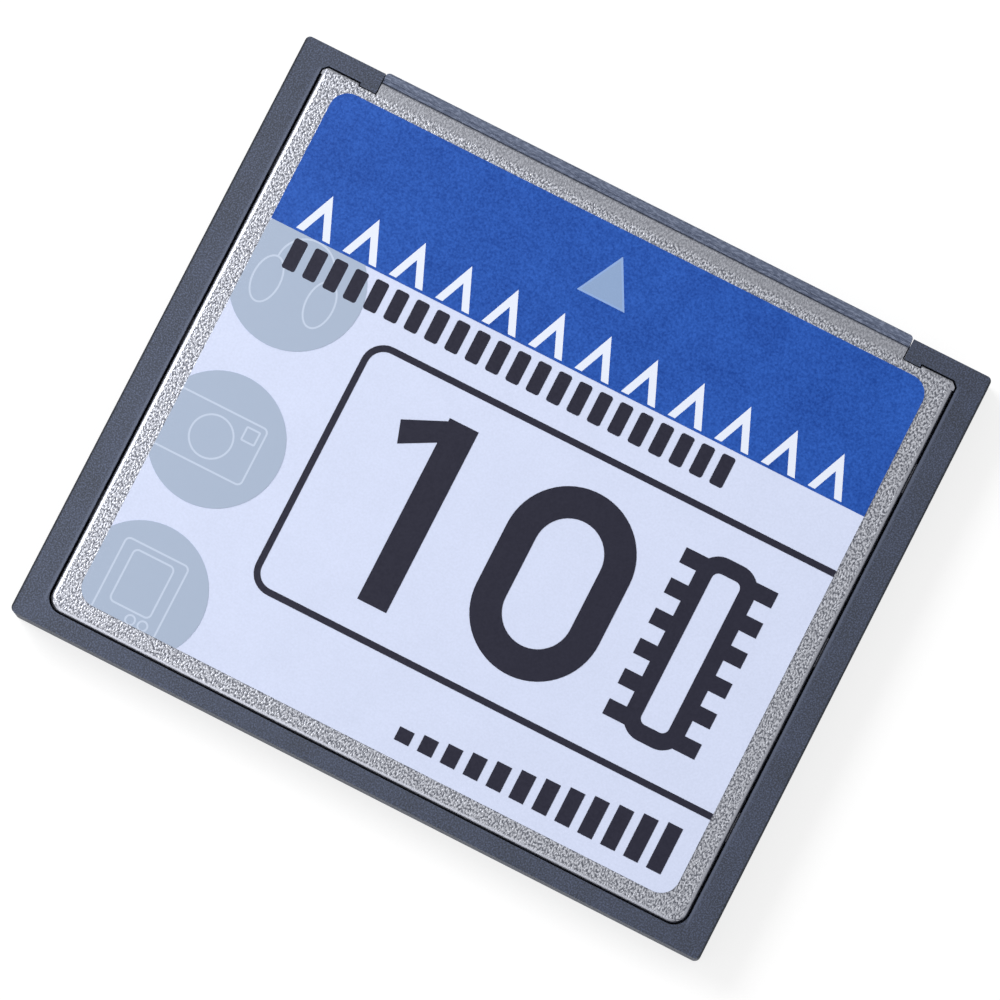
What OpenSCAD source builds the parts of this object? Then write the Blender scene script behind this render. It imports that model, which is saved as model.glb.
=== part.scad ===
// Flash memory card with a 50-socket edge connector, a moulded frame, two stamped
// covers, a printed label and the populated circuit board between the covers.
// X runs across the card, +Y points out of the connector end, +Z is the label side.

/* [Card] */
// Width over the side rails
card_w = 42.8; // [41:0.1:46]
// Length from the rear edge to the face of the connector
card_l = 36.4; // [36:0.1:42]
// Thickness over the two bare covers
card_h = 3.2; // [3.2:0.1:5]
// Corner radius at the connector end
front_corner_r = 0.3; // [0.2:0.05:0.5]
// Corner radius at the rear end
rear_corner_r = 0.35; // [0.2:0.05:0.6]

/* [Frame] */
// Width of each side rail, seen from above
side_rail_w = 1.55; // [1.2:0.05:1.8]
// Width of the rear rail, seen from above
rear_rail_w = 1.05; // [0.9:0.05:1.8]
// Step from the outside of a cover down to the frame's face
rail_drop = 0.05; // [0.02:0.01:0.15]
// Width of each front corner tab
tab_w = 4.9; // [4:0.05:5.2]
// Length of each front corner tab
tab_l = 1.05; // [0.8:0.05:1.3]
// Width of the small step on the inner end of each tab
step_w = 1.0; // [0.6:0.1:1.4]
// Length of that step
step_l = 0.2; // [0.1:0.05:0.3]
// Length of the guide grooves, from the frame's front face
groove_l = 25.78; // [20:0.1:30]
// Depth of the guide grooves
groove_depth = 0.57; // [0.3:0.01:0.8]
// Height of the wide guide groove, on the left
left_groove_h = 1.6; // [1.2:0.05:1.8]
// Height of the narrow guide groove, on the right
right_groove_h = 0.99; // [0.7:0.01:1.1]
// How far the inner ledge that carries the board stands in from the rails
ledge_w = 1.1; // [0.8:0.1:1.6]
// Thickness of the ledge
ledge_t = 0.3; // [0.2:0.05:0.4]
// Radius of the pegs that locate the board
peg_r = 0.35; // [0.25:0.01:0.38]
// Height of the pegs above the board
peg_rise = 0.2; // [0.1:0.05:0.3]
// Clearance round a peg in the board's edge
peg_clearance = 0.08; // [0.05:0.01:0.15]
// Distance from the ends of the board to its pegs
peg_inset = 4.5; // [3:0.1:8]

/* [Covers] */
// Sheet thickness
sheet_t = 0.2; // [0.15:0.01:0.25]
// Outer radius of the folded edges
fold_r = 0.28; // [0.26:0.01:0.4]
// Height of the folded edges, over the sheet
flange_h = 0.9; // [0.7:0.05:0.95]
// Corner radius at the rear, seen from above
cover_corner_r = 0.9; // [0.6:0.05:1.5]
// Gap between a cover and the side rails
cover_side_gap = 0.11; // [0.08:0.01:0.2]
// Gap between a cover and the rear rail or the front tabs
cover_end_gap = 0.07; // [0.05:0.01:0.2]
// Length of the connector's nose that the covers leave bare
nose_l = 0.7; // [0.6:0.05:0.9]
// Size of the cut-off front corners of a cover
cover_chamfer = 0.3; // [0.1:0.05:0.5]
// Rounding of the sheet's pressed front edges
edge_r = 0.14; // [0.05:0.01:0.18]
// Height of the barbs over the rim of the folded edge
barb_rise = 0.1; // [0.05:0.01:0.2]
// Barbs along each side of a cover
barbs_per_side = 3; // [1:1:5]
// Length of a barb
barb_l = 1.8; // [1:0.1:2.5]
// Height of a barb
barb_h = 0.3; // [0.2:0.05:0.35]
// How far a barb stands out
barb_out = 0.24; // [0.22:0.01:0.36]
// Clearance round a barb in its pocket
barb_clearance = 0.08; // [0.04:0.01:0.12]
// Thickness of the insulating films
film_t = 0.05; // [0.02:0.01:0.08]
// Distance from the films to the folded edges
film_margin = 0.7; // [0.4:0.1:2]

/* [Connector] */
// Contacts in each row
columns = 25; // [15:1:25]
// Distance between neighbouring contacts and between the rows
pitch = 1.27; // [1.2:0.01:1.28]
// Length of the housing, front to back
housing_l = 5.6; // [5:0.1:6.5]
// How far the nose stands out of the corner tabs
nose_out = 0.15; // [0.1:0.05:0.3]
// Gap between the nose and a corner tab
nose_gap = 0.05; // [0.02:0.01:0.1]
// Length of the raised lip at the front of the nose
lip_l = 0.4; // [0.2:0.05:0.45]
// Bevel along the front edges of the nose
nose_bevel = 0.1; // [0.05:0.01:0.15]
// Corner radius of the nose, seen from above
nose_r = 0.25; // [0.1:0.05:0.5]
// Gap between the housing and what it sits in
housing_gap = 0.05; // [0.02:0.01:0.1]
// Width of a pin opening
socket_w = 0.6; // [0.5:0.02:0.7]
// Width of an opening's bevelled mouth
mouth_w = 0.92; // [0.76:0.02:1]
// Depth of the bevelled mouth
mouth_depth = 0.25; // [0.15:0.01:0.4]
// Thickness of the wall behind the nose's face
face_wall = 1.0; // [0.7:0.05:1.3]
// Width of the cavity that holds a contact
cavity_w = 0.72; // [0.62:0.02:0.8]
// Height of that cavity
cavity_h = 0.9; // [0.84:0.02:0.96]

/* [Contacts] */
// Thickness of a contact, across the card
contact_t = 0.3; // [0.2:0.02:0.4]
// Length of the block that a contact is held by
contact_block_l = 0.9; // [0.6:0.05:1.2]
// Length of the two spring arms
contact_arm_l = 2.9; // [2:0.1:3]
// Thickness of a spring arm
arm_t = 0.13; // [0.1:0.01:0.16]
// Opening between the two arm tips
arm_opening = 0.36; // [0.3:0.02:0.4]
// Thickness of the solder tail
tail_t = 0.14; // [0.1:0.01:0.16]
// Length of the tail on the board
tail_l = 1.3; // [1:0.1:1.6]
// Distance from the housing's rear face to the contact blocks
contact_inset = 0.35; // [0.2:0.05:0.5]
// Length of the flared lips at the arm tips
arm_lip_l = 0.4; // [0.2:0.05:0.6]
// Height by which the lips flare
arm_flare = 0.1; // [0.05:0.01:0.14]

/* [Board] */
// Thickness of the circuit board
board_t = 0.5; // [0.4:0.02:0.6]
// Gap between the board and the covers' folded edges
board_gap = 0.2; // [0.1:0.02:0.3]
// Gap between the board and the connector housing
board_front_gap = 0.15; // [0.05:0.05:0.3]
// Thickness of the gold pads and of the solder under the leads
pad_t = 0.03; // [0.02:0.01:0.05]
// Width of a gold pad
pad_w = 0.7; // [0.5:0.05:0.9]
// Length of a gold pad beyond the end of its tail
pad_margin = 0.2; // [0.1:0.05:0.4]
// Distance from the board's front edge to the pads
pad_inset = 0.1; // [0.05:0.05:0.2]

/* [Chips] */
// Width of a memory chip's body, along its rows of leads
memory_w = 12; // [11:0.1:12.4]
// Distance from a memory chip's corners to the first of its leads
memory_lead_margin = 0.25; // [0.2:0.05:1]
// Distance from the controller's corners to the first of its leads
controller_lead_margin = 1.0; // [0.9:0.05:2]
// Distance between neighbouring leads
lead_pitch = 0.5; // [0.4:0.01:0.5]
// Width of a lead
lead_w = 0.22; // [0.15:0.01:0.25]
// Thickness of a lead
lead_t = 0.12; // [0.1:0.01:0.15]
// How far the leads reach out of a body
lead_reach = 0.8; // [0.6:0.05:1]
// Length of a lead's foot on the board
lead_foot = 0.45; // [0.3:0.05:0.6]
// Thickness of the chips' bodies
chip_t = 0.9; // [0.8:0.01:0.94]
// Gap under the chips' bodies
chip_standoff = 0.06; // [0.05:0.01:0.1]
// Slope of the chips' sides, as the width lost at top and bottom
chip_draft = 0.08; // [0.04:0.01:0.15]
// Radius of the mark beside a chip's first lead
mark_r = 0.4; // [0.2:0.05:0.6]
// Depth of that mark
mark_depth = 0.06; // [0.03:0.01:0.1]
// Distance from the board's left edge to a memory chip's body
memory_inset = 1.6; // [1:0.1:2.5]
// Distance from the board's rear edge to a memory chip's body
memory_rear_inset = 2.2; // [1.8:0.1:4]
// Distance from the board's right edge to the controller's body
controller_inset = 2.4; // [1.5:0.1:3]
// How much the controller's body falls short of the memory chip's at each end
controller_setback = 2.3; // [1.5:0.1:4]
// Distance between the bodies of the memory chip and the controller
chip_gap = 8.8; // [7:0.1:10]
// Length of the board in front of the memory chips, for small parts and contact tails
small_zone_l = 8.5; // [8:0.1:10]

/* [Label] */
// Gap between the label and the sides of the top cover
label_side_margin = 1.25; // [0.8:0.05:2]
// Gap between the label and the rear edge of the top cover
label_rear_margin = 1.15; // [0.8:0.05:2]
// Gap between the label and the front edge of the top cover
label_front_margin = 1.3; // [1:0.05:2]
// Thickness of the label
label_t = 0.08; // [0.05:0.01:0.12]
// Thickness of the print
ink_t = 0.02; // [0.01:0.01:0.03]
// Corner radius of the label
label_corner_r = 1.1; // [0.5:0.1:1.5]
// Depth of the blue band
band_l = 8.3; // [7.5:0.1:8.6]

/* [Print] */
// Radius of the grey discs
disc_r = 3.87; // [3:0.05:4]
// Distance from the label's left edge to the discs' centres
disc_inset = 3.0; // [2:0.1:3.5]
// Distance from the rear disc to the middle one
rear_disc_pitch = 9.4; // [8.2:0.1:9.8]
// Distance from the middle disc to the front one
front_disc_pitch = 9.85; // [8.2:0.05:9.9]
// Distance from the label's rear edge to the rear disc's centre
disc_rear_inset = 2.0; // [1.5:0.1:3]
// Stroke of the pale pictogram lines
icon_line = 0.11; // [0.08:0.01:0.2]
// Width of the headphones' ear cushions
ear_w = 1.7; // [1:0.1:2]
// Length of the ear cushions
ear_l = 2.9; // [2:0.1:3.2]
// Radius of the headphones' band
headband_r = 1.66; // [1.2:0.02:2]
// Length of the camera, front to back of the card
camera_l = 3.6; // [2.5:0.1:4]
// Distance from the camera's end to the disc's centre
camera_reach = 2.4; // [2:0.1:2.6]
// Radius of the camera's lens
lens_r = 1.3; // [0.8:0.05:1.5]
// Side of the camera's viewfinder
viewfinder_w = 0.9; // [0.6:0.1:1.1]
// Width of the player
player_w = 4.0; // [3:0.1:4.4]
// Distance from the player's top to the disc's centre
player_reach = 2.4; // [2:0.1:2.6]
// Width of the player's screen
screen_w = 2.6; // [1.8:0.1:2.8]
// Length of the player's screen
screen_l = 3.3; // [2.5:0.1:3.5]
// Distance between the lines of the player and of its screen
screen_inset = 0.4; // [0.2:0.05:0.5]
// Radius of the player's buttons
button_r = 0.33; // [0.2:0.01:0.4]
// Corner radius of the pictograms
icon_r = 0.35; // [0.2:0.05:0.4]
// Height of the arrowhead
arrow_l = 2.44; // [1.5:0.1:3]
// Width of the arrowhead
arrow_w = 2.6; // [1.5:0.1:3.5]
// Distance from the label's front edge to the arrowhead's tip
arrow_inset = 1.6; // [1:0.1:2.5]
// Chevrons in the white row
chevrons = 12; // [6:1:12]
// Distance between neighbouring chevrons
chevron_pitch = 2.9; // [2.4:0.05:2.9]
// Width of a chevron
chevron_w = 2.1; // [1.5:0.1:2.2]
// Height of a chevron
chevron_l = 2.5; // [1.8:0.1:2.6]
// Gap between the blue band's rear edge and the chevrons
chevron_gap = 0.15; // [0.1:0.05:0.5]
// Stroke of a chevron
chevron_line = 0.42; // [0.2:0.02:0.5]
// Height of the row of dark dashes
dash_l = 1.85; // [1:0.05:2]
// Width of a dark dash
dash_w = 0.8; // [0.4:0.02:0.9]
// Corner radius of a dark dash
dash_r = 0.15; // [0.05:0.05:0.2]
// Dark dashes in the row
dashes = 22; // [10:1:22]
// Distance from the label's left edge to the dashes
dash_inset = 1.75; // [1:0.05:2]
// Gap between the blue band and the dashes
dash_gap = 0.35; // [0.2:0.05:0.5]
// Stroke of the dark line frame
border_line = 0.38; // [0.2:0.02:0.5]
// Corner radius of the line frame
border_r = 1.35; // [0.8:0.05:2]
// Distance from the label's left edge to the line frame
border_inset = 8.1; // [7.5:0.1:9]
// Distance from the blue band to the line frame
border_front = 3.4; // [3:0.1:4]
// Length of the line frame, front to back
border_l = 15.5; // [15:0.1:15.8]
// Height of the large figure
figure_l = 11.3; // [9:0.1:12]
// Distance from the line frame to the figure's upright bar
figure_inset = 5.9; // [5:0.05:6.5]
// Stroke of the large figure
figure_line = 1.8; // [1.2:0.05:2]
// How far the figure's flag reaches out of the upright bar
flag_reach = 2.4; // [1.5:0.1:3]
// How far the flag falls from the bar to its end
flag_drop = 1.3; // [0.8:0.1:2]
// Width of the figure's oval
oval_w = 7.6; // [6:0.1:8]
// Gap between the upright bar and the oval
figure_gap = 3.7; // [2:0.1:3.8]
// Width of the chip pictogram, over its pins
chip_icon_w = 5.7; // [4.5:0.1:6]
// Length of the chip pictogram's pins
chip_icon_pin = 1.05; // [0.6:0.05:1.3]
// Pins on each side of the chip pictogram
chip_icon_pins = 6; // [3:1:7]
// Corner radius of the chip pictogram
chip_icon_r = 0.4; // [0.1:0.1:0.8]
// Stroke of the chip pictogram
chip_icon_line = 0.95; // [0.4:0.05:1.1]
// Distance from the label's right edge to the chip pictogram
chip_icon_inset = 2.3; // [1.8:0.1:2.8]
// Bars in the stepped row
steps = 12; // [6:1:13]
// Distance between neighbouring bars of the stepped row
bar_pitch = 1.42; // [1:0.02:1.44]
// Width of a bar
bar_w = 0.9; // [0.4:0.05:0.95]
// Height of the tallest bar
bar_l = 2.8; // [2:0.1:3]
// Height of the lowest bar
bar_low = 0.8; // [0.4:0.1:1.5]
// Distance from the label's right edge to the bars
bar_inset = 1.1; // [0.8:0.1:2]
// Distance from the label's rear edge to the bars
bar_rear_inset = 1.0; // [0.6:0.1:1.2]

/* [Small parts] */
// Length of a capacitor
capacitor_l = 1.6; // [1:0.1:2]
// Width of a capacitor
capacitor_w = 0.8; // [0.5:0.1:1.2]
// Height of a capacitor
capacitor_h = 0.75; // [0.4:0.05:0.95]
// Capacitors in the row
capacitors = 6; // [2:1:7]
// Distance between neighbouring capacitors
capacitor_pitch = 2.6; // [2.2:0.1:2.8]
// Gap between the crystal and the first capacitor
crystal_gap = 2.8; // [1:0.1:3]
// Gap between the last capacitor and the regulator
regulator_gap = 5.2; // [2:0.1:5.4]
// Length of a resistor
resistor_l = 1.6; // [1:0.1:2]
// Width of a resistor
resistor_w = 0.8; // [0.5:0.1:1]
// Height of a resistor
resistor_h = 0.45; // [0.3:0.05:0.6]
// Resistors in the row
resistors = 8; // [2:1:9]
// Distance between neighbouring resistors
resistor_pitch = 1.5; // [1.2:0.1:1.8]
// Length of the metal ends of capacitors and resistors
terminal_l = 0.3; // [0.2:0.05:0.4]
// Width of the crystal's ceramic base
crystal_w = 3.2; // [2.5:0.1:4]
// Length of the crystal's ceramic base
crystal_l = 2.5; // [2:0.1:3]
// Height of the ceramic base
crystal_base_h = 0.35; // [0.2:0.05:0.45]
// Height of the crystal's metal lid
crystal_lid_h = 0.35; // [0.2:0.05:0.45]
// Rim of the ceramic base round the lid
crystal_rim = 0.2; // [0.1:0.05:0.4]
// Corner radius of the lid
crystal_lid_r = 0.3; // [0.1:0.05:0.4]
// Corner radius of the ceramic base
crystal_base_r = 0.15; // [0.05:0.05:0.3]
// Width of the regulator's body
regulator_w = 2.9; // [2.4:0.1:3.4]
// Length of the regulator's body
regulator_l = 1.6; // [1.4:0.1:2]
// Distance between the regulator's leads
regulator_pitch = 0.95; // [0.8:0.05:1]
// Width of a regulator lead
regulator_lead_w = 0.4; // [0.3:0.05:0.5]

/* [Hidden] */
$fn = 48;
// Room by which a cutting shape runs past the face it opens
cut = 0.5;
// Smallest side of a rectangle that is drawn
least = 0.001;
half_w = card_w / 2;
front_y = card_l / 2;
rear_y = -card_l / 2;
mid_z = card_h / 2;

// Frame
frame_front_y = front_y - nose_out;
frame_z = rail_drop;
frame_h = card_h - 2 * rail_drop;
window_x = half_w - side_rail_w;
window_rear_y = rear_y + rear_rail_w;
window_r = cover_corner_r + (cover_side_gap + cover_end_gap) / 2;
tab_rear_y = frame_front_y - tab_l;
step_y = tab_rear_y - step_l;
tab_x = half_w - tab_w;
ledge_x = max(window_x - ledge_w, columns * pitch / 2);

// Covers
cover_x = window_x - cover_side_gap;
cover_rear_y = window_rear_y + cover_end_gap;
cover_front_y = front_y - nose_l;
shoulder_y = tab_rear_y - cover_end_gap;
notch_y = step_y - cover_end_gap;
tongue_x = tab_x - cover_end_gap;
notch_x = tab_x + step_w + cover_end_gap;
flange_x = cover_x - sheet_t;
flange_rear_y = cover_rear_y + sheet_t;
flange_front_y = notch_y - cover_chamfer;
barb_z = card_h - flange_h + barb_rise;
barb_span = flange_front_y - cover_rear_y - cover_corner_r;
film_x = flange_x - film_margin;
film_rear_y = flange_rear_y + film_margin;

// Connector
nose_x = tab_x - nose_gap;
housing_rear_y = front_y - housing_l;
housing_x = flange_x - board_gap;
housing_z = sheet_t + housing_gap;
housing_front_y = step_y - housing_gap;
lip_drop = (housing_z - rail_drop) / 2;
cavity_front_y = front_y - face_wall;
row_z = pitch / 2;

// Board
board_x = housing_x;
board_front_y = housing_rear_y - board_front_gap;
board_rear_y = flange_rear_y + board_gap;
board_z = mid_z - board_t / 2;
board_top_z = mid_z + board_t / 2;
tail_z = board_t / 2 + pad_t - row_z;
peg_x = flange_x - peg_r + peg_clearance / 2;
film_front_y = board_front_y;

// Chips
memory_l = board_front_y - board_rear_y - memory_rear_inset - small_zone_l;
controller_w = 2 * board_x - memory_inset - memory_w - chip_gap - controller_inset;
controller_l = memory_l - 2 * controller_setback;
memory_x = -board_x + memory_inset + memory_w / 2;
memory_y = board_rear_y + memory_rear_inset + memory_l / 2;
controller_x = board_x - controller_inset - controller_w / 2;
controller_y = memory_y;
chip_z = board_top_z + chip_standoff;
chip_middle = chip_standoff + chip_t / 2;
memory_leads = lead_count(memory_w, memory_lead_margin);
controller_leads_across = lead_count(controller_w, controller_lead_margin);
controller_leads_along = lead_count(controller_l, controller_lead_margin);

// Label and print
label_left = -cover_x + label_side_margin;
label_right = cover_x - label_side_margin;
label_rear = cover_rear_y + label_rear_margin;
label_front = cover_front_y - label_front_margin;
label_z = card_h;
ink_z = card_h + label_t;
band_y = label_front - band_l;
disc_x = label_left + disc_inset;
rear_disc_y = label_rear + disc_rear_inset;
middle_disc_y = rear_disc_y + rear_disc_pitch;
front_disc_y = middle_disc_y + front_disc_pitch;
border_x = label_left + border_inset;
border_top = band_y - border_front;
border_bottom = border_top - border_l;
field_middle = (border_top + border_bottom) / 2;
dash_y = band_y - dash_gap - dash_l;
dash_x = label_left + dash_inset;
figure_x = border_x + figure_inset;
figure_top = field_middle + figure_l / 2;
oval_x = figure_x + figure_line + figure_gap + oval_w / 2;
chip_icon_x = label_right - chip_icon_inset - chip_icon_w / 2;
bar_x = label_right - bar_inset - bar_w / 2;
bar_y = label_rear + bar_rear_inset;

// Small parts
small_row_y = (board_front_y - tail_l + memory_y + memory_l / 2 + lead_reach) / 2;
capacitor_x = -(capacitors - 1) / 2 * capacitor_pitch;
resistor_x = (memory_x + memory_w / 2 + controller_x - controller_w / 2 - lead_reach) / 2;
resistor_y = memory_y - (resistors - 1) / 2 * resistor_pitch;
row_end_x = capacitor_l / 2 - capacitor_x;
crystal_x = -row_end_x - crystal_gap - crystal_w / 2;
regulator_x = row_end_x + regulator_gap + regulator_w / 2;

// Colours
slate = [0.30, 0.32, 0.38];
slate_light = [0.40, 0.43, 0.50];
steel = [0.68, 0.69, 0.72];
film = [0.85, 0.66, 0.30];
lavender = [0.84, 0.87, 0.96];
blue = [0.16, 0.36, 0.72];
grey_blue = [0.68, 0.74, 0.83];
near_white = [0.93, 0.95, 0.99];
ink = [0.20, 0.20, 0.25];
gold = [0.85, 0.68, 0.30];
green = [0.10, 0.35, 0.22];
black = [0.12, 0.12, 0.13];
tin = [0.78, 0.79, 0.80];
ceramic = [0.62, 0.52, 0.38];

// Leads that fit between two corners of a chip
function lead_count(w, margin) = floor((w - 2 * margin) / lead_pitch + least) + 1;

// Rectangle between two corners, left out where it has no width or no length
module area(x0, y0, x1, y1) {
    if (min(x1 - x0, y1 - y0) > least)
        translate([x0, y0]) square([x1 - x0, y1 - y0]);
}

// Rectangle between two corners, with its four corners rounded
module round_area(x0, y0, x1, y1, r) {
    area(x0 + r, y0, x1 - r, y1);
    area(x0, y0 + r, x1, y1 - r);
    for (x = [x0 + r, x1 - r], y = [y0 + r, y1 - r])
        translate([x, y]) circle(r);
}

// Line of constant width round a rounded rectangle, drawn inwards
module round_line(x0, y0, x1, y1, r, line) {
    difference() {
        round_area(x0, y0, x1, y1, r);
        round_area(x0 + line, y0 + line, x1 - line, y1 - line, r - line);
    }
}

// Circle drawn as a line of constant width
module ring(r, line) {
    difference() {
        circle(r);
        circle(r - line);
    }
}

// Ellipse by its width and its length
module ellipse(w, l) {
    scale([w / l, 1]) circle(l / 2);
}

// Oval line of constant width with full-round ends
module oval_line(w, l, line) {
    round_line(-w / 2, -l / 2, w / 2, l / 2, w / 2, line);
}

// Profile in the Y-Z plane, extruded along X between two places
module along_x(x0, x1) {
    translate([x0, 0, 0]) rotate([90, 0, 90]) linear_extrude(x1 - x0) children();
}

// Profile in the X-Z plane, extruded along Y between two places
module along_y(y0, y1) {
    translate([0, y1, 0]) rotate([90, 0, 0]) linear_extrude(y1 - y0) children();
}

// The same solid on the left and on the right
module both_sides() {
    children();
    mirror([1, 0, 0]) children();
}

// The same solid on the label side and on the underside
module turned_over() {
    translate([0, 0, card_h]) mirror([0, 0, 1]) children();
}

module frame_outline() {
    area(-half_w, rear_y + rear_corner_r, half_w, frame_front_y - front_corner_r);
    area(-half_w + rear_corner_r, rear_y, half_w - rear_corner_r, frame_front_y - front_corner_r);
    area(-half_w + front_corner_r, rear_y + rear_corner_r, half_w - front_corner_r, frame_front_y);
    for (side = [-1, 1]) {
        translate([side * (half_w - rear_corner_r), rear_y + rear_corner_r]) circle(rear_corner_r);
        translate([side * (half_w - front_corner_r), frame_front_y - front_corner_r])
            circle(front_corner_r);
    }
}

// Opening of the frame: the window for the covers and the way out for the nose
module frame_opening() {
    inner_x = window_x - window_r;
    inner_y = window_rear_y + window_r;
    area(-inner_x, window_rear_y, inner_x, step_y);
    area(-tab_x, window_rear_y, tab_x, front_y + cut);
    for (side = [-1, 1]) {
        translate([side * inner_x, inner_y]) circle(window_r);
        polygon([
            [side * inner_x, inner_y],
            [side * window_x, inner_y],
            [side * window_x, tab_rear_y - cover_chamfer],
            [side * (window_x - cover_chamfer), tab_rear_y],
            [side * (tab_x + step_w), tab_rear_y],
            [side * (tab_x + step_w), step_y],
            [side * inner_x, step_y],
        ]);
    }
}

module guide_groove(side, height) {
    x = side * (half_w - groove_depth / 2 + cut / 2);
    translate([x, frame_front_y - groove_l / 2 + cut / 2, mid_z])
        cube([groove_depth + cut, groove_l + cut, height], center = true);
}

function barb_y(i) = flange_front_y - (i + 0.5) * barb_span / barbs_per_side;

// Wedge that stands out of a cover's folded edge, with its catch facing the sheet
module barb(grow) {
    for (i = [0 : barbs_per_side - 1])
        translate([0, barb_y(i), 0])
            along_y(-barb_l / 2 - grow, barb_l / 2 + grow)
                polygon([
                    [cover_x - sheet_t / 4, barb_z - grow],
                    [cover_x + (grow > 0 ? cover_side_gap / 2 : 0), barb_z - grow],
                    [cover_x + barb_out + grow, barb_z + barb_h - grow],
                    [cover_x + barb_out + grow, barb_z + barb_h + grow],
                    [cover_x - sheet_t / 4, barb_z + barb_h + grow],
                ]);
}

// Places of the pegs, two on each side of the board
module at_pegs() {
    for (x = [-peg_x, peg_x], y = [board_rear_y + peg_inset, board_front_y - peg_inset])
        translate([x, y, 0]) children();
}

module frame() {
    color(slate) {
        difference() {
            translate([0, 0, frame_z]) linear_extrude(frame_h)
                difference() {
                    frame_outline();
                    frame_opening();
                }
            guide_groove(-1, left_groove_h);
            guide_groove(1, right_groove_h);
            both_sides() {
                barb(barb_clearance);
                turned_over() barb(barb_clearance);
            }
        }
        translate([0, 0, board_z - ledge_t]) linear_extrude(ledge_t)
            difference() {
                area(-window_x, window_rear_y, window_x, tab_rear_y);
                area(-ledge_x, window_rear_y + ledge_w, ledge_x, tab_rear_y + cut);
            }
        at_pegs() translate([0, 0, board_z]) cylinder(h = board_t + peg_rise, r = peg_r);
    }
}

// Section of a folded edge: the end of the sheet, the bend and the edge itself.
// Its outer face lies at x = 0 and the sheet runs towards negative x.
module fold_section() {
    difference() {
        union() {
            area(-cover_corner_r, card_h - sheet_t, -fold_r, card_h);
            area(-sheet_t, card_h - flange_h, 0, card_h - fold_r);
            intersection() {
                translate([-fold_r, card_h - fold_r]) circle(fold_r);
                area(-fold_r, card_h - fold_r, 0, card_h);
            }
        }
        translate([-fold_r, card_h - fold_r]) circle(fold_r - sheet_t);
    }
}

// What a rounding takes off a square corner that points up and to the right
module corner_waste(r) {
    difference() {
        area(-r, -r, cut, cut);
        translate([-r, -r]) circle(r);
    }
}

module cover_sheet() {
    inner_x = cover_x - cover_corner_r;
    inner_y = cover_rear_y + cover_corner_r;
    area(-inner_x, inner_y, inner_x, notch_y);
    area(-tongue_x, notch_y, tongue_x, cover_front_y);
    for (side = [-1, 1])
        polygon([
            [side * inner_x, flange_front_y],
            [side * cover_x, flange_front_y],
            [side * cover_x, shoulder_y - cover_chamfer],
            [side * (cover_x - cover_chamfer), shoulder_y],
            [side * notch_x, shoulder_y],
            [side * notch_x, notch_y],
            [side * inner_x, notch_y],
        ]);
}

// Cover seen from its own side: sheet, folded sides and rear, and the barbs
module cover() {
    inner_x = cover_x - cover_corner_r;
    inner_y = cover_rear_y + cover_corner_r;
    difference() {
        translate([0, 0, card_h - sheet_t]) linear_extrude(sheet_t) cover_sheet();
        along_x(-tongue_x, tongue_x) translate([cover_front_y, card_h]) corner_waste(edge_r);
        both_sides()
            along_x(notch_x, cover_x) translate([shoulder_y, card_h]) corner_waste(edge_r);
    }
    both_sides() {
        along_y(inner_y, flange_front_y) translate([cover_x, 0]) fold_section();
        translate([inner_x, inner_y, 0]) rotate([0, 0, -90])
            rotate_extrude(angle = 90) translate([cover_corner_r, 0]) fold_section();
        barb(0);
    }
    along_x(-inner_x, inner_x)
        mirror([1, 0]) translate([-cover_rear_y, 0]) fold_section();
}

module top_cover() {
    color(steel) cover();
}

module bottom_cover() {
    color(steel) turned_over() cover();
}

module insulating_film() {
    translate([0, 0, card_h - sheet_t - film_t]) linear_extrude(film_t)
        area(-film_x, film_rear_y, film_x, film_front_y);
}

module top_insulator() {
    color(film) insulating_film();
}

module bottom_insulator() {
    color(film) turned_over() insulating_film();
}

function column_x(i) = (i - (columns - 1) / 2) * pitch;

// Side view of the nose: lip, step behind it, and bevelled front edges
module nose_section() {
    upper = card_h - rail_drop;
    polygon([
        [housing_rear_y, housing_z],
        [cover_front_y + housing_gap, housing_z],
        [cover_front_y + housing_gap, rail_drop + lip_drop],
        [front_y - lip_l - lip_drop, rail_drop + lip_drop],
        [front_y - lip_l, rail_drop],
        [front_y - nose_bevel, rail_drop],
        [front_y, rail_drop + nose_bevel],
        [front_y, upper - nose_bevel],
        [front_y - nose_bevel, upper],
        [front_y - lip_l, upper],
        [front_y - lip_l - lip_drop, upper - lip_drop],
        [cover_front_y + housing_gap, upper - lip_drop],
        [cover_front_y + housing_gap, card_h - housing_z],
        [housing_rear_y, card_h - housing_z],
    ]);
}

// Bevelled mouth of one opening, as seen in plan and in side view
module mouth_section() {
    polygon([
        [-mouth_w / 2, cut],
        [mouth_w / 2, cut],
        [mouth_w / 2, 0],
        [socket_w / 2, -mouth_depth],
        [-socket_w / 2, -mouth_depth],
        [-mouth_w / 2, 0],
    ]);
}

// One socket: bevelled mouth, square opening and the cavity for the contact
module socket() {
    translate([0, front_y, 0]) intersection() {
        translate([0, 0, -mouth_w / 2]) linear_extrude(mouth_w) mouth_section();
        translate([-mouth_w / 2, 0, 0]) rotate([90, 0, 90]) linear_extrude(mouth_w)
            rotate(-90) mouth_section();
    }
    translate([-socket_w / 2, cavity_front_y - cut, -socket_w / 2])
        cube([socket_w, face_wall - mouth_depth / 2 + cut, socket_w]);
    translate([-cavity_w / 2, housing_rear_y - cut, -cavity_h / 2])
        cube([cavity_w, cavity_front_y - housing_rear_y + cut, cavity_h]);
}

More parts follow.
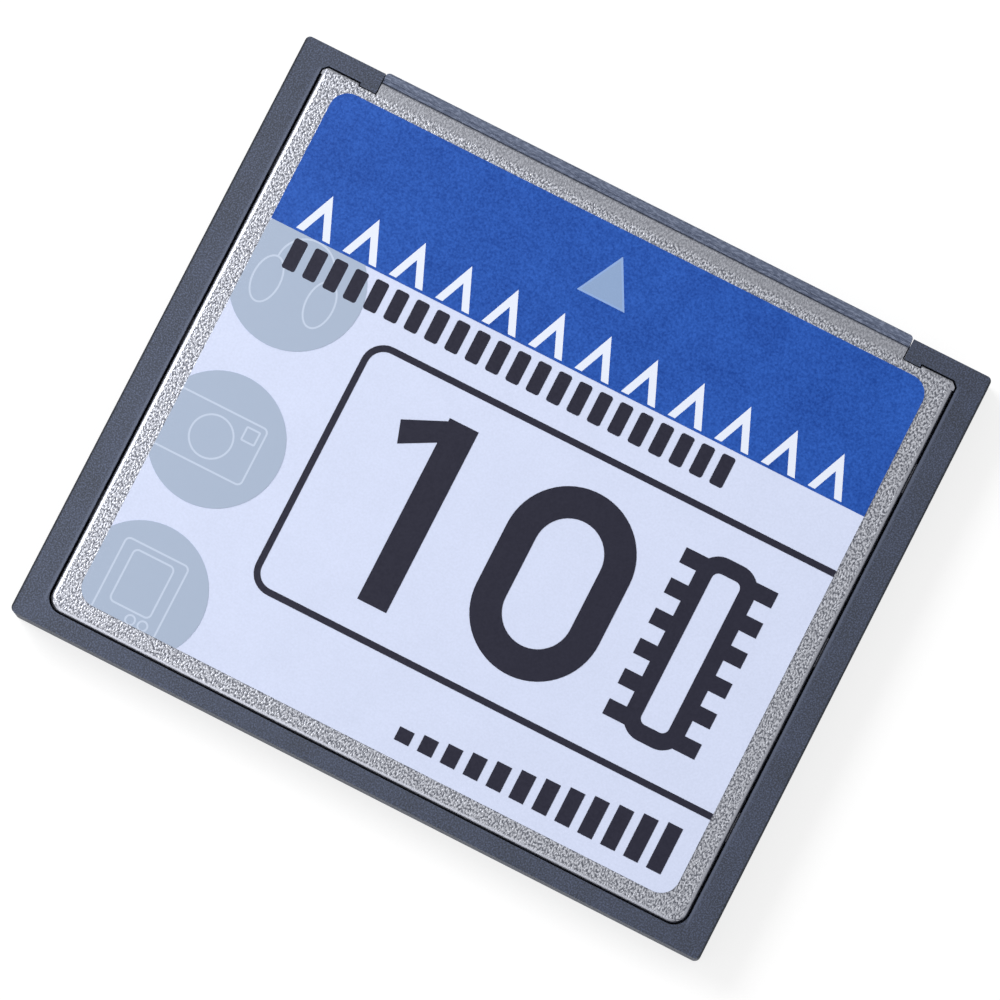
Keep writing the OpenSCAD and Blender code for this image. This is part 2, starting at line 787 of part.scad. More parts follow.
module connector_housing() {
    ledge_room = housing_gap * 2;
    color(slate_light) difference() {
        union() {
            intersection() {
                along_x(-nose_x, nose_x) nose_section();
                linear_extrude(card_h)
                    round_area(-nose_x, housing_rear_y - 2 * nose_r, nose_x, front_y, nose_r);
            }
            translate([-housing_x, housing_rear_y, housing_z])
                cube([2 * housing_x, housing_front_y - housing_rear_y, card_h - 2 * housing_z]);
        }
        for (i = [0 : columns - 1], row = [-1, 1])
            translate([column_x(i), 0, mid_z + row * row_z]) socket();
        both_sides()
            translate([ledge_x - ledge_room, housing_rear_y - cut, board_z - ledge_t - ledge_room])
                cube([ledge_w + cut, housing_l + cut, ledge_t + 2 * ledge_room]);
    }
}

// Side view of a fork contact of the upper row; height 0 is the row's axis
module contact_section() {
    block_y = housing_rear_y + contact_inset;
    arm_y = block_y + contact_block_l;
    tip_y = arm_y + contact_arm_l;
    half = cavity_h / 2;
    tip = arm_opening / 2;
    area(block_y, -half, arm_y, half);
    area(board_front_y - tail_l, tail_z, block_y, tail_z + tail_t);
    polygon([
        [block_y - tail_t, tail_z],
        [block_y, tail_z],
        [block_y, half - arm_t],
        [block_y - tail_t, half - 2 * arm_t],
    ]);
    for (side = [-1, 1])
        polygon([
            [arm_y, side * half],
            [arm_y, side * (half - 1.5 * arm_t)],
            [tip_y - arm_lip_l, side * tip],
            [tip_y, side * (tip + arm_flare)],
            [tip_y, side * (tip + arm_flare + arm_t / 2)],
            [tip_y - arm_lip_l, side * (tip + arm_t)],
        ]);
}

module contact_row() {
    for (i = [0 : columns - 1])
        translate([0, 0, mid_z + row_z])
            along_x(column_x(i) - contact_t / 2, column_x(i) + contact_t / 2) contact_section();
}

module upper_contacts() {
    color(gold) contact_row();
}

module lower_contacts() {
    color(gold) turned_over() contact_row();
}

module circuit_board() {
    color(green) difference() {
        translate([0, 0, board_z]) linear_extrude(board_t)
            area(-board_x, board_rear_y, board_x, board_front_y);
        at_pegs() translate([0, 0, board_z - cut])
            cylinder(h = board_t + 2 * cut, r = peg_r + peg_clearance);
    }
}

module pad_row() {
    translate([0, 0, board_top_z]) linear_extrude(pad_t)
        for (i = [0 : columns - 1])
            area(column_x(i) - pad_w / 2, board_front_y - tail_l - pad_margin,
                column_x(i) + pad_w / 2, board_front_y - pad_inset);
}

module board_pads() {
    color(gold) {
        pad_row();
        turned_over() pad_row();
    }
}

// Side view of a moulded chip body: sloped sides that meet at the leads' height
module chip_section(w) {
    band = lead_t / 2;
    half = w / 2;
    polygon([
        [-half + chip_draft, 0],
        [half - chip_draft, 0],
        [half, chip_t / 2 - band],
        [half, chip_t / 2 + band],
        [half - chip_draft, chip_t],
        [-half + chip_draft, chip_t],
        [-half, chip_t / 2 + band],
        [-half, chip_t / 2 - band],
    ]);
}

// Chip body with the round mark of its first lead
module chip_body(w, l, r) {
    mark_inset = 3 * r;
    difference() {
        intersection() {
            along_y(-l / 2, l / 2) chip_section(w);
            along_x(-w / 2, w / 2) chip_section(l);
        }
        translate([-w / 2 + mark_inset, -l / 2 + mark_inset, chip_t - mark_depth])
            cylinder(h = cut, r = r);
    }
}

// Side view of a gull-wing lead; y = 0 is the body's side and height 0 is the pad
module lead_section() {
    knee = lead_reach - lead_foot;
    bend = lead_t * 0.7;
    polygon([
        [0, chip_middle - lead_t / 2],
        [knee / 2, chip_middle - lead_t / 2],
        [knee, 0],
        [lead_reach, 0],
        [lead_reach, lead_t],
        [knee + bend, lead_t],
        [knee / 2 + bend, chip_middle + lead_t / 2],
        [0, chip_middle + lead_t / 2],
    ]);
}

// Row of leads along X that reaches out towards +Y
module lead_row(count, spacing, width) {
    for (i = [0 : count - 1])
        translate([(i - (count - 1) / 2) * spacing - width / 2, 0, 0])
            along_x(0, width) lead_section();
}

module memory_chip() {
    translate([memory_x, memory_y, chip_z]) chip_body(memory_w, memory_l, mark_r);
}

module memory_lead_rows() {
    translate([memory_x, memory_y, board_top_z])
        for (turn = [0, 180])
            rotate(turn) translate([0, memory_l / 2, 0])
                lead_row(memory_leads, lead_pitch, lead_w);
}

module upper_memory_chip() {
    color(black) memory_chip();
}

module upper_memory_leads() {
    color(tin) memory_lead_rows();
}

module lower_memory_chip() {
    color(black) turned_over() memory_chip();
}

module lower_memory_leads() {
    color(tin) turned_over() memory_lead_rows();
}

module controller_chip() {
    color(black) translate([controller_x, controller_y, chip_z])
        chip_body(controller_w, controller_l, mark_r);
}

module controller_leads() {
    color(tin) translate([controller_x, controller_y, board_top_z])
        for (turn = [0, 180]) {
            rotate(turn) translate([0, controller_l / 2, 0])
                lead_row(controller_leads_across, lead_pitch, lead_w);
            rotate(turn + 90) translate([0, controller_w / 2, 0])
                lead_row(controller_leads_along, lead_pitch, lead_w);
        }
}

module regulator_body() {
    color(black) translate([regulator_x, small_row_y, chip_z])
        chip_body(regulator_w, regulator_l, mark_r / 3);
}

module regulator_leads() {
    color(tin) translate([regulator_x, small_row_y, board_top_z]) {
        translate([0, regulator_l / 2, 0]) lead_row(2, 2 * regulator_pitch, regulator_lead_w);
        rotate(180) translate([0, regulator_l / 2, 0])
            lead_row(3, regulator_pitch, regulator_lead_w);
    }
}

module crystal_base() {
    color(ceramic) translate([crystal_x, small_row_y, board_top_z])
        linear_extrude(crystal_base_h)
            round_area(-crystal_w / 2, -crystal_l / 2, crystal_w / 2, crystal_l / 2,
                crystal_base_r);
}

module crystal_lid() {
    w = crystal_w / 2 - crystal_rim;
    l = crystal_l / 2 - crystal_rim;
    color(tin) translate([crystal_x, small_row_y, board_top_z + crystal_base_h])
        linear_extrude(crystal_lid_h) round_area(-w, -l, w, l, crystal_lid_r);
}

// Places of the capacitors, in a row across the board
module at_capacitors() {
    for (i = [0 : capacitors - 1])
        translate([capacitor_x + i * capacitor_pitch, small_row_y, board_top_z]) children();
}

// Places of the resistors, in a row between the chips
module at_resistors() {
    for (i = [0 : resistors - 1])
        translate([resistor_x, resistor_y + i * resistor_pitch, board_top_z]) children();
}

// Body of a two-ended part, without its metal ends
module small_body(l, w, h) {
    translate([-l / 2 + terminal_l, -w / 2, 0]) cube([l - 2 * terminal_l, w, h]);
}

// Metal ends of a two-ended part
module small_ends(l, w, h) {
    both_sides() translate([l / 2 - terminal_l, -w / 2, 0]) cube([terminal_l, w, h]);
}

module capacitor_bodies() {
    color(ceramic) at_capacitors() small_body(capacitor_l, capacitor_w, capacitor_h);
}

module capacitor_terminals() {
    color(tin) at_capacitors() small_ends(capacitor_l, capacitor_w, capacitor_h);
}

module resistor_bodies() {
    color(black) at_resistors() small_body(resistor_l, resistor_w, resistor_h);
}

module resistor_terminals() {
    color(tin) at_resistors() small_ends(resistor_l, resistor_w, resistor_h);
}

module label_outline() {
    round_area(label_left, label_rear, label_right, label_front, label_corner_r);
}

module blue_field() {
    intersection() {
        label_outline();
        area(label_left, band_y, label_right, label_front);
    }
}

// Outline of the arrowhead, grown outwards by a margin
module arrowhead(margin) {
    half = arrow_w / 2;
    side = norm([half, arrow_l]);
    foot = half + margin * (side + half) / arrow_l;
    translate([0, label_front - arrow_inset - arrow_l])
        polygon([[-foot, -margin], [foot, -margin], [0, arrow_l + margin * side / half]]);
}

module discs() {
    intersection() {
        label_outline();
        area(label_left, label_rear, label_right, band_y);
        for (y = [rear_disc_y, middle_disc_y, front_disc_y])
            translate([disc_x, y]) circle(disc_r);
    }
}

// Headphones: two ear cushions under a round band
module headphones_icon() {
    top = ear_l / 2 - ear_w / 3;
    difference() {
        translate([0, top]) ring(headband_r + icon_line / 2, icon_line);
        area(-2 * headband_r, top - 2 * headband_r, 2 * headband_r, top);
    }
    for (side = [-1, 1])
        translate([side * headband_r, top - ear_l / 2]) difference() {
            ellipse(ear_w, ear_l);
            ellipse(ear_w - 2 * icon_line, ear_l - 2 * icon_line);
        }
}

// Camera: body that runs off the label's edge, lens and viewfinder
module camera_icon() {
    window_x1 = camera_reach - icon_r;
    window_y1 = camera_l / 2 - icon_r;
    round_line(-disc_r, -camera_l / 2, camera_reach, camera_l / 2, icon_r, icon_line);
    translate([-icon_r, 0]) ring(lens_r, icon_line);
    round_line(window_x1 - viewfinder_w, window_y1 - viewfinder_w, window_x1, window_y1,
        icon_line, icon_line);
}

// Player: body that runs off the label's edge, screen and two buttons
module player_icon() {
    screen_top = player_reach - screen_inset;
    screen_bottom = screen_top - screen_l;
    round_line(-player_w / 2, -disc_r, player_w / 2, player_reach, icon_r, icon_line);
    round_line(-screen_w / 2, screen_bottom, screen_w / 2, screen_top, icon_r, icon_line);
    for (side = [0, 1])
        translate([button_r + side * (2 * button_r + icon_line),
            screen_bottom - button_r - icon_line]) ring(button_r, icon_line);
}

module icons() {
    intersection() {
        discs();
        union() {
            translate([disc_x, front_disc_y]) headphones_icon();
            translate([disc_x, middle_disc_y]) camera_icon();
            translate([disc_x, rear_disc_y]) player_icon();
        }
    }
}

module chevron() {
    half = chevron_w / 2;
    line = chevron_line * norm([half, chevron_l]) / half;
    foot = chevron_line * norm([half, chevron_l]) / chevron_l;
    polygon([
        [-half, 0],
        [0, chevron_l],
        [half, 0],
        [half - foot, 0],
        [0, chevron_l - line],
        [-half + foot, 0],
    ]);
}

module chevron_row() {
    for (i = [0 : chevrons - 1])
        translate([(i - (chevrons - 1) / 2) * chevron_pitch, band_y + chevron_gap]) chevron();
}

module dash_row() {
    for (i = [0 : dashes - 1])
        translate([dash_x + i * pitch, dash_y]) round_area(0, 0, dash_w, dash_l, dash_r);
}

// Line frame that is open where it meets the label's right edge
module border() {
    intersection() {
        round_line(border_x, border_bottom, label_right + border_r, border_top, border_r,
            border_line);
        area(border_x, border_bottom, label_right, border_top);
    }
}

// Upright bar with a slanted flag, and an oval beside it
module large_figure() {
    area(figure_x, field_middle - figure_l / 2, figure_x + figure_line, figure_top);
    flag_root = figure_x + figure_line / 4;
    flag_end = figure_x - flag_reach;
    polygon([
        [flag_root, figure_top],
        [flag_end, figure_top - flag_drop],
        [flag_end + flag_drop / 3, figure_top - 2 * flag_drop],
        [flag_root, figure_top - flag_drop],
    ]);
    translate([oval_x, field_middle]) oval_line(oval_w, figure_l, figure_line);
}

// Pictogram of a chip with its rows of pins
module chip_icon() {
    body_x = chip_icon_w / 2 - chip_icon_pin;
    root_x = body_x - chip_icon_line / 2;
    spacing = figure_l / chip_icon_pins;
    translate([chip_icon_x, field_middle]) {
        round_line(-body_x, -figure_l / 2, body_x, figure_l / 2, chip_icon_r + chip_icon_line,
            chip_icon_line);
        for (i = [0 : chip_icon_pins - 1])
            translate([0, (i - (chip_icon_pins - 1) / 2) * spacing]) {
                area(root_x, -spacing / 4, chip_icon_w / 2, spacing / 4);
                area(-chip_icon_w / 2, -spacing / 4, -root_x, spacing / 4);
            }
    }
}

// Row of bars that rise from left to right
module stepped_bars() {
    for (i = [0 : steps - 1])
        translate([bar_x - i * bar_pitch, bar_y])
            area(-bar_w / 2, 0, bar_w / 2,
                bar_l - i * (bar_l - bar_low) / (steps - 1));
}

module dark_shapes() {
    dash_row();
    border();
    large_figure();
    chip_icon();
    stepped_bars();
}

module white_shapes() {
    chevron_row();
    difference() {
        arrowhead(icon_line);
        arrowhead(0);
    }
    difference() {
        icons();
        dark_shapes();
    }
}

// One printed field on the face of the label
module printed() {
    translate([0, 0, ink_z]) linear_extrude(ink_t) children();
}

module label() {
    color(lavender) translate([0, 0, label_z]) linear_extrude(label_t) label_outline();
}

module label_blue_print() {
    color(blue) printed() difference() {
        blue_field();
        arrowhead(icon_line);
        chevron_row();
    }
}

module label_grey_print() {
    color(grey_blue) printed() {
        difference() {
            discs();
            icons();
            dark_shapes();
        }
        arrowhead(0);
    }
}

module label_white_print() {
    color(near_white) printed() white_shapes();
}

module label_dark_print() {
    color(ink) printed() dark_shapes();
}

frame();
top_cover();
bottom_cover();
top_insulator();
bottom_insulator();
label();
label_blue_print();
label_grey_print();
label_white_print();
label_dark_print();
connector_housing();
upper_contacts();
lower_contacts();
circuit_board();
board_pads();
upper_memory_chip();
upper_memory_leads();
lower_memory_chip();
lower_memory_leads();
controller_chip();
controller_leads();
regulator_body();
regulator_leads();
crystal_base();
crystal_lid();
capacitor_bodies();
capacitor_terminals();
resistor_bodies();
resistor_terminals();
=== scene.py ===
"""Looks of a flash memory card: materials, soft edges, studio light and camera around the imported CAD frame."""

import math

import bpy
from mathutils import Matrix, Vector


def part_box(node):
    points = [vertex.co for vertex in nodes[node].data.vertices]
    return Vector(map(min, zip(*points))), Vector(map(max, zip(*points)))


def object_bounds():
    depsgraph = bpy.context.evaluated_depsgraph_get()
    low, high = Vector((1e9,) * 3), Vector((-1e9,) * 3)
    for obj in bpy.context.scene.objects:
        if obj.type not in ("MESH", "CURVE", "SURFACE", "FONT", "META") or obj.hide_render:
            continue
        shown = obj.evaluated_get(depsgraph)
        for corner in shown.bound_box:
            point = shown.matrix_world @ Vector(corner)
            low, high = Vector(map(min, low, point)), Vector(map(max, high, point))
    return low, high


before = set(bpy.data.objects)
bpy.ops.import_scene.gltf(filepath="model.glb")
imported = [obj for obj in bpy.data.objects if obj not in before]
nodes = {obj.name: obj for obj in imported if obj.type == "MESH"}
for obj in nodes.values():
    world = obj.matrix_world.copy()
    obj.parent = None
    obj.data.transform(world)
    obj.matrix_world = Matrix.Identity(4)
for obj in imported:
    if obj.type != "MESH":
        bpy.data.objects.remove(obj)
cad_low, cad_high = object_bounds()

MM = 0.001

# Camera: almost straight above the card, which lies turned on the table
CARD_TURN = math.radians(-27.0)
CAMERA_DISTANCE = 400 * MM
CAMERA_TILT_RIGHT = math.radians(3.3)
CAMERA_TILT_REAR = math.radians(5.5)
PIXELS_PER_MM = 17.95
PICTURE_PIXELS = 1000
CENTRE_PIXEL = (502.5, 496.0)
SENSOR = 36.0

# Places on the label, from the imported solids
label_low, label_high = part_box("label")
band_low, band_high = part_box("label_blue_print")
cover_low, cover_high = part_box("top_cover")
frame_low, frame_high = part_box("frame")
GRAIN_END = cover_high.y - 0.75 * MM
FLANGE_X = label_high.x + 1.26 * MM
FOLD_R = 0.28 * MM
WINDOW_X = FLANGE_X + 0.11 * MM
ARROW_START = band_low.y + 3.5 * MM


def srgb(r, g, b):
    """Linear colour of the three sRGB values 0 to 255."""
    def linear(v):
        v /= 255
        return v / 12.92 if v <= 0.04045 else ((v + 0.055) / 1.055) ** 2.4

    return (linear(r), linear(g), linear(b), 1)


class Shader:
    """One procedural material and short calls that add its nodes."""

    def __init__(self, name, colour, roughness, metallic=0.0, **sockets):
        self.material = bpy.data.materials.new(name)
        self.material.use_nodes = True
        self.tree = self.material.node_tree
        self.base = self.tree.nodes["Principled BSDF"]
        self.set(self.base, "Base Color", colour)
        self.set(self.base, "Roughness", roughness)
        self.set(self.base, "Metallic", metallic)
        for socket, value in sockets.items():
            self.set(self.base, socket.replace("_", " "), value)
        self.place = self.tree.nodes.new("ShaderNodeTexCoord").outputs["Object"]

    def set(self, node, socket, value):
        node.inputs[socket].default_value = value

    def link(self, a, b):
        self.tree.links.new(a, b)

    def node(self, kind, **values):
        made = self.tree.nodes.new(kind)
        for key, value in values.items():
            setattr(made, key, value)
        return made

    def stretched(self, scale, turn=0.0):
        """Coordinates scaled by three numbers and turned about Z."""
        mapping = self.node("ShaderNodeMapping")
        self.set(mapping, "Scale", scale)
        self.set(mapping, "Rotation", (0, 0, turn))
        self.link(self.place, mapping.inputs["Vector"])
        return mapping.outputs["Vector"]

    def noise(self, size, detail=2.0, distortion=0.0, place=None):
        """Noise whose features are about size metres across, from 0 to 1."""
        made = self.node("ShaderNodeTexNoise")
        self.set(made, "Scale", 1 / size)
        self.set(made, "Detail", detail)
        self.set(made, "Distortion", distortion)
        self.link(place or self.place, made.inputs["Vector"])
        return made.outputs["Fac"]

    def ramp(self, value, low, high, to_low=0.0, to_high=1.0):
        """value from low..high mapped to to_low..to_high, and held there."""
        made = self.node("ShaderNodeMapRange")
        for socket, number in (("From Min", low), ("From Max", high), ("To Min", to_low), ("To Max", to_high)):
            self.set(made, socket, number)
        self.link(value, made.inputs["Value"])
        return made.outputs["Result"]

    def math(self, operation, a, b):
        made = self.node("ShaderNodeMath", operation=operation)
        for socket, value in zip(made.inputs, (a, b)):
            if isinstance(value, (int, float)):
                socket.default_value = value
            else:
                self.link(value, socket)
        return made.outputs["Value"]

    def along(self, axis):
        """The place along one axis, in metres."""
        made = self.node("ShaderNodeSeparateXYZ")
        self.link(self.place, made.inputs["Vector"])
        return made.outputs[axis]

    def mix(self, factor, a, b):
        """Colour a turning into colour b; each is four numbers or a socket."""
        made = self.node("ShaderNodeMix", data_type="RGBA")
        sockets = [s for s in made.inputs if s.type == "RGBA"]
        for socket, value in zip(sockets, (a, b)):
            if isinstance(value, tuple):
                socket.default_value = value
            else:
                self.link(value, socket)
        self.link(factor, made.inputs[0])
        return next(s for s in made.outputs if s.type == "RGBA")

    def colour(self, socket):
        self.link(socket, self.base.inputs["Base Color"])

    def rough(self, socket):
        self.link(socket, self.base.inputs["Roughness"])

    def relief(self, height, depth, strength=1.0):
        """Bump of a height from 0 to 1 that is depth metres deep; more than one adds up."""
        made = self.node("ShaderNodeBump")
        self.set(made, "Strength", strength)
        self.set(made, "Distance", depth)
        self.link(height, made.inputs["Height"])
        held = self.base.inputs["Normal"]
        if held.is_linked:
            self.link(held.links[0].from_socket, made.inputs["Normal"])
        self.link(made.outputs["Normal"], held)


def grained_plastic(name, colour, pale, roughness, grain=0.07 * MM, depth=0.010 * MM):
    """Moulded plastic with a fine matt grain and slightly uneven colour."""
    s = Shader(name, colour, roughness)
    grains = s.noise(grain, detail=0.0)
    patches = s.noise(1.8 * MM, detail=3.0)
    uneven = s.math("ADD", s.ramp(grains, 0.4, 0.6, 0, 0.85), s.ramp(patches, 0.3, 0.7, 0, 0.15))
    s.colour(s.mix(uneven, colour, pale))
    s.rough(s.ramp(grains, 0.3, 0.7, roughness - 0.12, roughness + 0.12))
    s.relief(grains, depth)
    return s.material


def moulded_shell(name, colour, pale, roughness, flow=1.0):
    """Slate plastic of the outside: speckled matt grain and a bluish sheen, with painted shade darkening the outer
    side edges and a painted highlight lightening the window edges beside the cover.
    """
    s = Shader(name, colour, roughness, Specular_IOR_Level=0.64, Specular_Tint=srgb(226, 236, 255))
    grains = s.noise(0.09 * MM, detail=1.0, place=s.stretched((flow, 1.0, 1.0)))
    patches = s.noise(1.8 * MM, detail=3.0)
    speckle = s.ramp(grains, 0.46, 0.66)
    uneven = s.math("ADD", s.math("MULTIPLY", speckle, 0.8), s.ramp(patches, 0.3, 0.7, 0, 0.2))
    aside = s.math("ABSOLUTE", s.along("X"), 0.0)
    # Painted shade: a dark band along the outer side edges of the shell.
    outer_edge_painted_shade = s.ramp(aside, frame_high.x - 0.14 * MM, frame_high.x - 0.06 * MM)
    # Painted highlight: a lighter band along the window edges, beside the cover only.
    window_edge_painted_highlight = s.math("MULTIPLY", s.ramp(aside, WINDOW_X, WINDOW_X + 0.03 * MM),
                   s.ramp(aside, WINDOW_X + 0.10 * MM, WINDOW_X + 0.20 * MM, 1, 0))
    beside_cover = s.math("MULTIPLY", s.ramp(s.along("Y"), cover_low.y, cover_low.y + 0.6 * MM),
                          s.ramp(s.along("Y"), GRAIN_END - 0.2 * MM, GRAIN_END + 0.1 * MM, 1, 0))
    window_edge_painted_highlight = s.math("MULTIPLY", window_edge_painted_highlight, beside_cover)
    body = s.mix(window_edge_painted_highlight, s.mix(uneven, colour, pale), srgb(62, 68, 86))
    s.colour(s.mix(outer_edge_painted_shade, body, srgb(6, 7, 10)))
    s.rough(s.math("ADD", s.ramp(grains, 0.3, 0.7, roughness + 0.12, roughness - 0.12), s.ramp(outer_edge_painted_shade, 0, 1, 0, 0.3)))
    s.relief(grains, 0.012 * MM)
    return s.material


def stamped_steel():
    """Steel sheet rolled with a fine leathery grain, which the press irons out along its edges."""
    s = Shader("stamped_steel", srgb(196, 197, 203), 0.36, metallic=1.0)
    leather = s.noise(0.10 * MM, detail=2.5, place=s.stretched((1.0, 0.7, 1.0), math.radians(35)))
    fine = s.noise(0.06 * MM, detail=0.0)
    aside = s.math("ABSOLUTE", s.along("X"), 0.0)
    side_fold = s.ramp(aside, FLANGE_X - FOLD_R, FLANGE_X - 0.6 * FOLD_R)
    rear_fold = s.ramp(s.along("Y"), cover_low.y + 0.6 * FOLD_R, cover_low.y + FOLD_R, 1, 0)
    fold = s.math("MAXIMUM", side_fold, rear_fold)
    front = s.ramp(s.along("Y"), GRAIN_END - 0.1 * MM, GRAIN_END + 0.15 * MM, 0, 0.65)
    ironed = s.math("MAXIMUM", s.math("MULTIPLY", fold, 0.9), front)
    grain = s.math("SUBTRACT", 1.0, ironed)
    tone = s.math("ADD", s.math("MULTIPLY", s.ramp(leather, 0.42, 0.58), grain), s.math("MULTIPLY", ironed, 0.4))
    sheet = s.mix(tone, srgb(86, 88, 96), srgb(168, 170, 177))
    # Painted shade: the flange sides down in the gap to the frame are coloured dark.
    flange_gap_painted_shade = s.ramp(aside, FLANGE_X, FLANGE_X + 0.02 * MM)
    # The folds are partly real and partly painted: the press irons out their grain, and their lighter colour is a
    # painted highlight.
    s.colour(s.mix(flange_gap_painted_shade, s.mix(fold, sheet, srgb(136, 138, 146)), srgb(48, 49, 55)))
    s.rough(s.ramp(fine, 0.3, 0.7, 0.32, 0.44))
    s.relief(s.math("MULTIPLY", leather, grain), 0.028 * MM)
    s.relief(fine, 0.004 * MM)
    return s.material


def printed_film(name, colour, other, roughness=0.42):
    """Printed label film: satin, with the fine mottle of ink and faint clouds in it."""
    s = Shader(name, colour, roughness, Specular_IOR_Level=0.2)
    mottle = s.noise(0.13 * MM, detail=2.0)
    clouds = s.noise(2.2 * MM, detail=3.0)
    share = s.math("ADD", s.ramp(mottle, 0.3, 0.7, 0, 0.7), s.ramp(clouds, 0.3, 0.7, 0, 0.3))
    s.colour(s.mix(share, colour, other))
    s.rough(s.ramp(mottle, 0.3, 0.7, roughness - 0.05, roughness + 0.08))
    s.relief(s.noise(0.12 * MM, detail=2.0), 0.0012 * MM)
    return s.material


def tinted_film(name, on_pale, on_blue, at_arrow, roughness=0.42):
    """Print with one colour on the pale film, another on the blue band and a third at the arrowhead."""
    s = Shader(name, on_pale, roughness, Specular_IOR_Level=0.2)
    mottle = s.noise(0.28 * MM, detail=3.0)
    place = s.math("ADD", s.along("Y"), s.ramp(mottle, 0.3, 0.7, -0.02 * MM, 0.02 * MM))
    inked = s.mix(s.ramp(place, band_low.y, band_low.y + 0.05 * MM), on_pale, on_blue)
    s.colour(s.mix(s.ramp(place, ARROW_START, ARROW_START + 0.1 * MM), inked, at_arrow))
    s.rough(s.ramp(mottle, 0.3, 0.7, roughness - 0.05, roughness + 0.08))
    s.relief(s.noise(0.12 * MM, detail=2.0), 0.0012 * MM)
    return s.material


def gold_plate():
    """Gold over nickel, a little uneven as plating is."""
    s = Shader("gold_plate", srgb(232, 190, 104), 0.25, metallic=1.0)
    uneven = s.noise(0.2 * MM)
    s.colour(s.mix(s.ramp(uneven, 0.3, 0.7), srgb(222, 178, 92), srgb(240, 202, 120)))
    s.rough(s.ramp(uneven, 0.3, 0.7, 0.18, 0.36))
    return s.material


def tinned_metal():
    """Dull tin, as on soldered leads and terminals."""
    s = Shader("tinned_metal", srgb(205, 207, 210), 0.32, metallic=1.0)
    uneven = s.noise(0.15 * MM)
    s.colour(s.mix(s.ramp(uneven, 0.3, 0.7), srgb(190, 192, 196), srgb(216, 217, 219)))
    s.rough(s.ramp(uneven, 0.3, 0.7, 0.24, 0.44))
    return s.material


def soft_edges(name, width, angle=40):
    """Rounds the edges of a CAD node as its mould or press leaves them."""
    piece = nodes[name]
    weld = piece.modifiers.new("weld", "WELD")
    weld.merge_threshold = 0.0005 * MM
    bevel = piece.modifiers.new("soft_edges", "BEVEL")
    bevel.width = width
    bevel.segments = 3
    bevel.limit_method = "ANGLE"
    bevel.angle_limit = math.radians(angle)


def dress(material, *names):
    for name in names:
        mesh = nodes[name].data
        if not nodes[name].material_slots:
            mesh.materials.append(material)
        for held in nodes[name].material_slots:
            held.material = material


def dress_all():
    dress(moulded_shell("frame_plastic", srgb(1, 3, 16), srgb(58, 66, 90), 0.62), "frame")
    dress(moulded_shell("connector_plastic", srgb(60, 68, 89), srgb(109, 117, 138), 0.6, flow=0.3),
          "connector_housing")
    dress(stamped_steel(), "top_cover", "bottom_cover")
    dress(printed_film("label_film", srgb(204, 212, 236), srgb(212, 220, 245)), "label")
    dress(printed_film("blue_ink", srgb(2, 58, 142), srgb(38, 92, 186)), "label_blue_print")
    dress(tinted_film("grey_ink", srgb(164, 178, 200), srgb(138, 162, 198), srgb(138, 162, 198)), "label_grey_print")
    dress(tinted_film("white_ink", srgb(190, 202, 222), srgb(226, 232, 246), srgb(140, 168, 214)), "label_white_print")
    dress(printed_film("dark_ink", srgb(22, 22, 40), srgb(28, 28, 46)), "label_dark_print")
    dress(gold_plate(), "upper_contacts", "lower_contacts", "board_pads")
    dress(tinned_metal(), "upper_memory_leads", "lower_memory_leads", "controller_leads", "regulator_leads",
          "crystal_lid", "capacitor_terminals", "resistor_terminals")
    dress(grained_plastic("chip_resin", srgb(34, 34, 36), srgb(44, 44, 47), 0.6),
          "upper_memory_chip", "lower_memory_chip", "controller_chip", "regulator_body")
    dress(grained_plastic("board_resin", srgb(18, 74, 46), srgb(26, 92, 58), 0.3), "circuit_board")
    dress(grained_plastic("ceramic", srgb(168, 142, 104), srgb(184, 158, 120), 0.45),
          "capacitor_bodies", "crystal_base")
    dress(grained_plastic("resistor_glaze", srgb(30, 30, 34), srgb(40, 40, 45), 0.3), "resistor_bodies")
    dress(grained_plastic("amber_film", srgb(196, 134, 48), srgb(206, 146, 60), 0.25),
          "top_insulator", "bottom_insulator")


def sees_background(tree):
    """1 for the rays that show the white background: the camera's, and reflected and refracted ones."""
    path = tree.nodes.new("ShaderNodeLightPath")
    seen = path.outputs["Is Camera Ray"]
    for kind in ("Is Glossy Ray", "Is Transmission Ray"):
        either = tree.nodes.new("ShaderNodeMath")
        either.operation = "MAXIMUM"
        tree.links.new(seen, either.inputs[0])
        tree.links.new(path.outputs[kind], either.inputs[1])
        seen = either.outputs[0]
    return seen


def studio_floor():
    """White table under the card, which keeps the card's shadow."""
    half = 1.2
    mesh = bpy.data.meshes.new("floor")
    mesh.from_pydata([(-half, -half, 0), (half, -half, 0), (half, half, 0), (-half, half, 0)], [], [(0, 1, 2, 3)])
    floor = bpy.data.objects.new("floor", mesh)
    floor.location.z = -0.02 * MM
    bpy.context.scene.collection.objects.link(floor)
    white = bpy.data.materials.new("white_table")
    white.use_nodes = True
    tree = white.node_tree
    base = tree.nodes["Principled BSDF"]
    base.inputs["Base Color"].default_value = (0.3, 0.3, 0.3, 1)
    base.inputs["Roughness"].default_value = 0.9
    base.inputs["Specular IOR Level"].default_value = 0.1
    share = tree.nodes.new("ShaderNodeMath")
    share.operation = "MULTIPLY"
    share.inputs[1].default_value = 0.74
    tree.links.new(sees_background(tree), share.inputs[0])
    base.inputs["Emission Color"].default_value = (1, 1, 1, 1)
    tree.links.new(share.outputs[0], base.inputs["Emission Strength"])
    mesh.materials.append(white)


def lamp(name, place, size, power, target=(0, 0, 0), length=None, sheen_only=False):
    """Soft rectangular lamp that faces a point."""
    data = bpy.data.lights.new(name, "AREA")
    data.shape = "RECTANGLE"
    data.size = size
    data.size_y = length or size
    data.energy = power
    made = bpy.data.objects.new(name, data)
    made.location = place
    made.rotation_euler = (Vector(target) - Vector(place)).to_track_quat("-Z", "Y").to_euler()
    made.visible_camera = False
    made.visible_diffuse = not sheen_only
    bpy.context.scene.collection.objects.link(made)
    return made


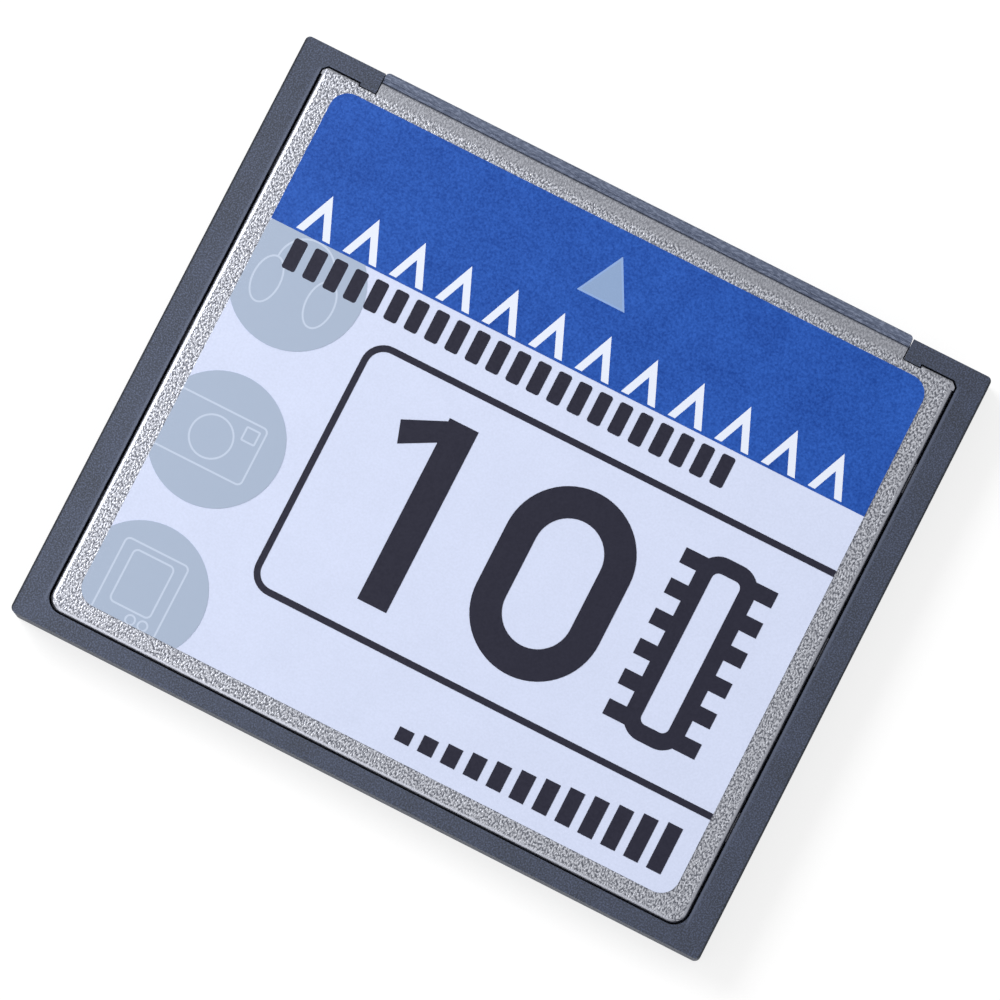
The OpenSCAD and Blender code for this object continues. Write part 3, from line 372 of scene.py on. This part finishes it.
def studio_light():
    world = bpy.data.worlds.new("studio")
    bpy.context.scene.world = world
    world.use_nodes = True
    tree = world.node_tree
    room = tree.nodes["Background"]
    room.inputs["Color"].default_value = (1, 1, 1, 1)
    room.inputs["Strength"].default_value = 0.5
    seen = tree.nodes.new("ShaderNodeBackground")
    seen.inputs["Color"].default_value = (1, 1, 1, 1)
    mix = tree.nodes.new("ShaderNodeMixShader")
    tree.links.new(sees_background(tree), mix.inputs[0])
    tree.links.new(room.outputs[0], mix.inputs[1])
    tree.links.new(seen.outputs[0], mix.inputs[2])
    tree.links.new(mix.outputs[0], tree.nodes["World Output"].inputs["Surface"])
    lamp("key_left", (-0.24, 0.08, 0.26), 0.16, 0.9)
    lamp("fill_right", (0.32, -0.10, 0.40), 0.34, 0.35)
    lamp("sheen_left", (-0.075, -0.005, 0.06), 0.05, 0.075, sheen_only=True)
    lamp("sheen_rear", (-0.04, -0.12, 0.10), 0.10, 0.09, sheen_only=True)


def turned_camera():
    """Camera over the card at the photograph's angle, with its lens as long as the picture's scale needs."""
    middle = Vector((0, 0, (cad_low.z + cad_high.z) / 2))
    back = Vector((math.tan(CAMERA_TILT_RIGHT), -math.tan(CAMERA_TILT_REAR), 1)).normalized()
    up_hint = Vector((math.sin(CARD_TURN), math.cos(CARD_TURN), 0))
    right = up_hint.cross(back).normalized()
    up = back.cross(right)
    data = bpy.data.cameras.new("camera")
    data.sensor_width = SENSOR
    data.lens = PIXELS_PER_MM / MM * CAMERA_DISTANCE / PICTURE_PIXELS * SENSOR
    data.clip_start = 10 * MM
    data.clip_end = 10
    half = PICTURE_PIXELS / 2
    aside = (right * (half - CENTRE_PIXEL[0]) + up * (CENTRE_PIXEL[1] - half)) * (MM / PIXELS_PER_MM)
    camera = bpy.data.objects.new("camera", data)
    camera.matrix_world = Matrix.Translation(middle + aside + back * CAMERA_DISTANCE) @ Matrix(
        (right, up, back)).transposed().to_4x4()
    bpy.context.scene.collection.objects.link(camera)
    bpy.context.scene.camera = camera


turned_camera()
soft_edges("frame", 0.05 * MM)
dress_all()
studio_floor()
studio_light()
bpy.context.scene.view_settings.view_transform = "Standard"
